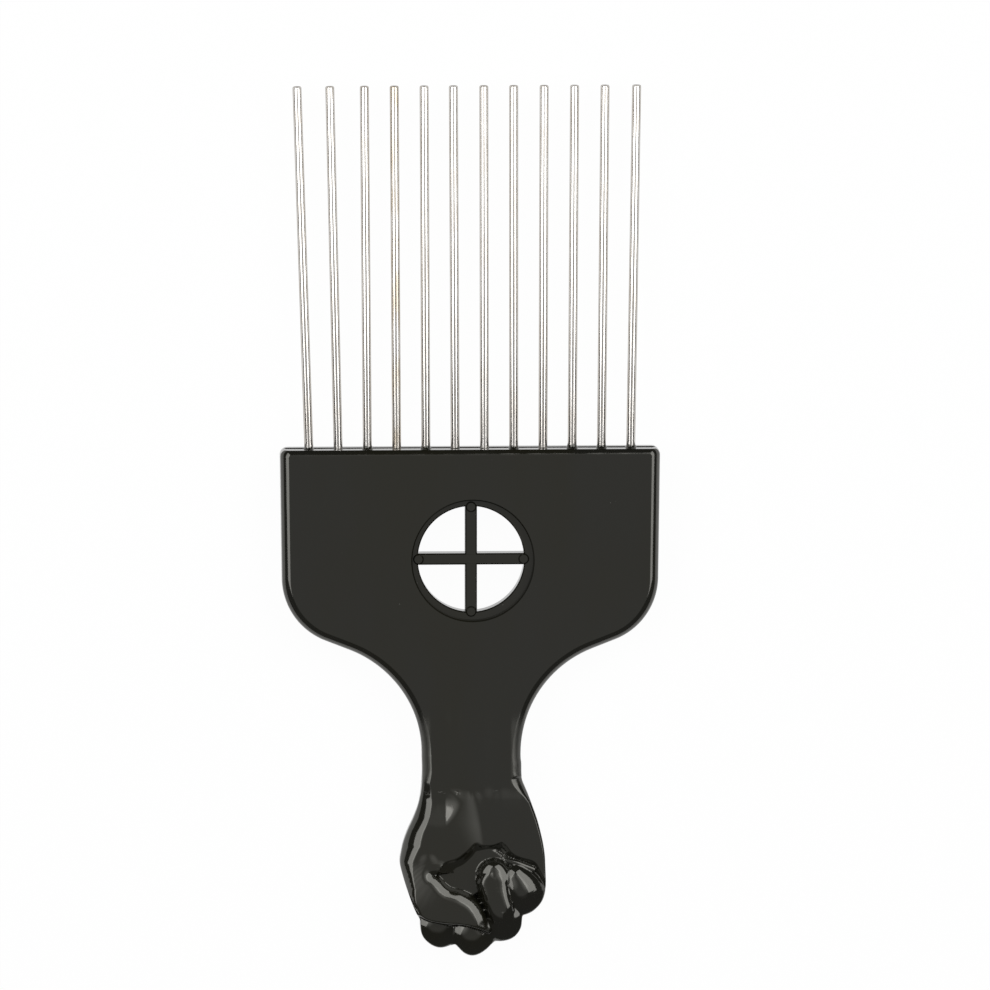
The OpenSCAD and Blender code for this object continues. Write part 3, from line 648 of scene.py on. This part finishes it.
def back_side(x, y, depth):
    """Height of the back of the hand below the parting plane."""
    plain = HALF_PLATE - (HALF_PLATE - HAND_FLOOR) * eased(y / NECK_BLEND)
    forms = [swept_shallow(x, y, BACK_MOUND, MOUND_ROUND), plain, np.full_like(x, HAND_FLOOR)]
    forms += [swept_shallow(x, y, ridge, RIDGE_ROUND) for ridge in BACK_RIDGES]
    hand = np.minimum(highest(forms, BACK_SOFT), MID_HEIGHT)
    width = EDGE_ROUND + (BACK_EDGE - EDGE_ROUND) * eased(y / NECK_BLEND)
    drop = np.minimum(width, hand - LEAST_SIDE)
    return hand - drop + rounded_edge(depth, width, drop)


def spread(curve, shares):
    """Points at shares of the length of a curve."""
    run = np.concatenate([[0], np.cumsum(np.hypot(*np.diff(curve, axis=0).T))])
    return np.stack([np.interp(shares * run[-1], run, curve[:, k]) for k in (0, 1)], 1)


def side_of_fist(neck_side, neck_place, pixels):
    """One side of the fist's outline, from the end of the head down to the knuckles."""
    lap = (neck_side * HALF_NECK + NECK_SHIFT, HEAD_DEPTH - WRIST_DEPTH + NECK_LAP)
    return smooth_curve([lap, neck_place, *(shown_at(*pixel) for pixel in pixels)])


def fist_grid():
    """Places over the fist, denser towards its outline, and how deep each lies inside it."""
    left, right = side_of_fist(-1, LEFT_NECK, LEFT_SIDE), side_of_fist(1, RIGHT_NECK, RIGHT_SIDE)
    lower = traced(*KNUCKLE_LINE, steps=8)
    u, v = np.linspace(0, 1, COLUMNS + 1), np.linspace(0, 1, ROWS + 1)
    u = u - SIDE_CROWDING * np.sin(2 * math.pi * u) / (2 * math.pi)
    v = v + KNUCKLE_CROWDING * np.sin(math.pi * v) / math.pi
    l, r, b = spread(left, v)[:, None], spread(right, v)[:, None], spread(lower, u)[None]
    t = (left[0] + np.outer(u, right[0] - left[0]))[None]
    u, v = u[None, :, None], v[:, None, None]
    corners = (1 - v) * ((1 - u) * left[0] + u * right[0]) + v * ((1 - u) * left[-1] + u * right[-1])
    grid = (1 - u) * l + u * r + (1 - v) * t + v * b - corners
    x, y = grid[..., 0], grid[..., 1]
    return x, y, distance_to(x, y, np.concatenate([left, lower, right[::-1]]))


def fist_half(name, x, y, z):
    """One half of the fist, as a grid shaped to its places; z is above the parting plane."""
    piece = start(bpy.ops.mesh.primitive_grid_add, name, x_subdivisions=COLUMNS, y_subdivisions=ROWS, size=1)
    wrist = TINE_EDGE - WRIST_DEPTH
    spots = np.stack(place(x[::-1], wrist - y[::-1], z[::-1]), -1).astype(np.float32)
    piece.data.vertices.foreach_set("co", spots.ravel())
    if z.mean() < 0:
        piece.data.flip_normals()
    return piece


def together(pieces):
    bpy.ops.object.select_all(action="DESELECT")
    for piece in pieces:
        piece.select_set(True)
    bpy.context.view_layer.objects.active = pieces[0]
    bpy.ops.object.join()
    return pieces[0]


def fist():
    """Both halves, joined by a narrow band along the parting line and left open at the wrist."""
    x, y, depth = fist_grid()
    front = np.maximum(palm_side(x, y, depth), PARTING_LAND)
    back = np.maximum(back_side(x, y, depth), PARTING_LAND)
    piece = together([fist_half("palm", x, y, front), fist_half("back", x, y, -back)])
    mesh = bmesh.new()
    mesh.from_mesh(piece.data)
    half = len(mesh.verts) // 2
    mesh.verts.ensure_lookup_table()
    across, down = COLUMNS + 1, ROWS + 1
    left_rim = [k * across for k in range(down - 1, -1, -1)]
    right_rim = [k * across + across - 1 for k in range(1, down)]
    rim = left_rim + list(range(1, across)) + right_rim
    for a, b in zip(rim, rim[1:]):
        mesh.faces.new([mesh.verts[k] for k in (a, a + half, b + half, b)])
    mesh.to_mesh(piece.data)
    mesh.free()
    return piece


def weld(head, grip):
    """Joins the two shapes across the neck, where each is left open."""
    wrist = (TINE_EDGE - HEAD_DEPTH) * MM
    bpy.ops.object.select_all(action="DESELECT")
    bpy.context.view_layer.objects.active = head
    mesh = bmesh.new()
    mesh.from_mesh(head.data)
    end = [f for f in mesh.faces if f.normal.y < -0.99 and same(f.calc_center_median().y, wrist)]
    bmesh.ops.delete(mesh, geom=end, context="FACES_ONLY")
    mesh.to_mesh(head.data)
    mesh.free()
    piece = together([head, grip])
    bpy.ops.object.mode_set(mode="EDIT")
    bpy.ops.mesh.select_mode(type="EDGE")
    bpy.ops.mesh.select_all(action="DESELECT")
    bpy.ops.mesh.select_non_manifold(extend=False, use_boundary=True, use_wire=False, use_multi_face=False,
                                     use_non_contiguous=False, use_verts=False)
    bpy.ops.mesh.bridge_edge_loops()
    bpy.ops.mesh.select_all(action="SELECT")
    bpy.ops.mesh.normals_make_consistent(inside=False)
    bpy.ops.object.mode_set(mode="OBJECT")
    return piece


handle = weld(head, fist())
handle.name = handle.data.name = "handle_moulding"
bpy.ops.object.shade_smooth_by_angle(angle=math.radians(38))
weighted = handle.modifiers.new("weighted", "WEIGHTED_NORMAL")
weighted.keep_sharp = True
bpy.ops.object.modifier_apply(modifier="weighted")
on_body(handle, styrene(), "black_plastic", "handle")

# Photographer's table: a white sheet, two soft boxes, one on each side and both a little towards
# the tines, and a long lens almost straight above, tipped towards the tines.
SHEET_HALF, SHEET_SEEN, SHEET_MIRRORED = 3.0, 0.97, 0.9
PAPER, WHITE = (0.85, 0.85, 0.85, 1), (1, 1, 1, 1)
ROOM_FAR, ROOM_NEAR, ROOM_FILL = 0.03, 0.12, 0.12
CEILING_EDGE, CEILING_LEVEL, CEILING_GLOW = (0.8, 0.92), 0.28, 1.5
GLOW_EDGE, GLOW_SLOPE, GLOW_POWER = 0.785, 5.1, 1.6
BOX_AZIMUTH, BOX_ELEVATION, BOX_DISTANCE, BOX_WIDTH, BOX_HEIGHT, BOX_POWER = 62, 48, 1.0, 1.25, 0.73, 8
LENS, SENSOR, PICTURE_WIDTH, CLIP_END = 1200.0, 36.0, 0.2029, 20.0
SIGHT_X, SIGHT_Y = 5.17, 5.25


def white_sheet():
    finish = Finish("white_sheet")
    seen, glossy, through = (finish.add("ShaderNodeLightPath", out=f"Is {ray} Ray")
                             for ray in ("Camera", "Glossy", "Transmission"))
    paper = finish.add("ShaderNodeBsdfDiffuse", {}, {"Color": PAPER})
    glow = finish.add("ShaderNodeEmission", {}, {"Color": WHITE, "Strength": 1.0})
    white = seen * SHEET_SEEN + (glossy + through) * SHEET_MIRRORED
    mix = finish.add("ShaderNodeMixShader", {}, [white, paper, glow])
    finish.add("ShaderNodeOutputMaterial", {}, {"Surface": mix})
    return finish.material


sheet = start(bpy.ops.mesh.primitive_plane_add, "white_sheet", size=2 * SHEET_HALF)
sheet.data.materials.append(white_sheet())


def toward_box(azimuth):
    """Direction of a soft box; azimuth is from the tines' direction towards the right."""
    a, e = math.radians(azimuth), math.radians(BOX_ELEVATION)
    return math.sin(a) * math.cos(e), math.cos(a) * math.cos(e), math.sin(e)


def studio():
    """A dark room, white to the camera, whose pale ceiling the gloss shows brighter over each soft box."""
    world = bpy.data.worlds.new("studio")
    world.use_nodes = True
    room = Finish("studio_room", world.node_tree)
    toward = room.add("ShaderNodeTexCoord", out="Generated")
    x, y, z = (room.add("ShaderNodeSeparateXYZ", {}, [toward], axis) for axis in "XYZ")
    seen = room.add("ShaderNodeLightPath", out="Is Camera Ray")
    mirrored = room.add("ShaderNodeLightPath", out="Is Glossy Ray")
    dark = y * ((ROOM_FAR - ROOM_NEAR) / 2) + (ROOM_FAR + ROOM_NEAR) / 2
    sideways, forward, up = toward_box(BOX_AZIMUTH)
    facing = x.math("ABSOLUTE") * sideways + y * forward + z * up
    glow = ((facing - GLOW_EDGE) * GLOW_SLOPE).math("MAXIMUM", 0.0).math("POWER", GLOW_POWER) * CEILING_GLOW
    inside = z.step(*CEILING_EDGE) * (glow + CEILING_LEVEL) + dark
    level = mirrored * inside + (1 - mirrored) * ROOM_FILL
    light = room.add("ShaderNodeBackground", {}, {"Color": WHITE, "Strength": seen + (1 - seen) * level})
    room.add("ShaderNodeOutputWorld", {}, {"Surface": light})
    return world


def soft_box(name, azimuth):
    """Area lamp that faces the pick."""
    lamp = bpy.data.lights.new(name, "AREA")
    lamp.shape, lamp.size, lamp.size_y, lamp.energy = "RECTANGLE", BOX_WIDTH, BOX_HEIGHT, BOX_POWER
    box = bpy.data.objects.new(name, lamp)
    bpy.context.collection.objects.link(box)
    box.location = Vector(toward_box(azimuth)) * BOX_DISTANCE
    box.rotation_euler = box.location.to_track_quat("Z", "Y").to_euler()
    box.visible_camera = False


bpy.context.scene.world = studio()
soft_box("left_box", -BOX_AZIMUTH)
soft_box("right_box", BOX_AZIMUTH)

camera = bpy.data.objects.new("camera", bpy.data.cameras.new("camera"))
bpy.context.collection.objects.link(camera)
bpy.context.scene.camera = camera
camera.data.lens, camera.data.sensor_width, camera.data.clip_end = LENS, SENSOR, CLIP_END
aim = Vector((SIGHT_X, SIGHT_Y, MID_HEIGHT)) * MM
back = Vector((-math.tan(TIP_LEFT), math.tan(TIP_BACK), 1)).normalized()
camera.location = aim + back * (LENS / SENSOR * PICTURE_WIDTH)
right = Vector((0, 1, 0)).cross(back).normalized()
camera.rotation_euler = Matrix((right, back.cross(right), back)).transposed().to_euler()

bpy.context.scene.view_settings.view_transform = "Standard"
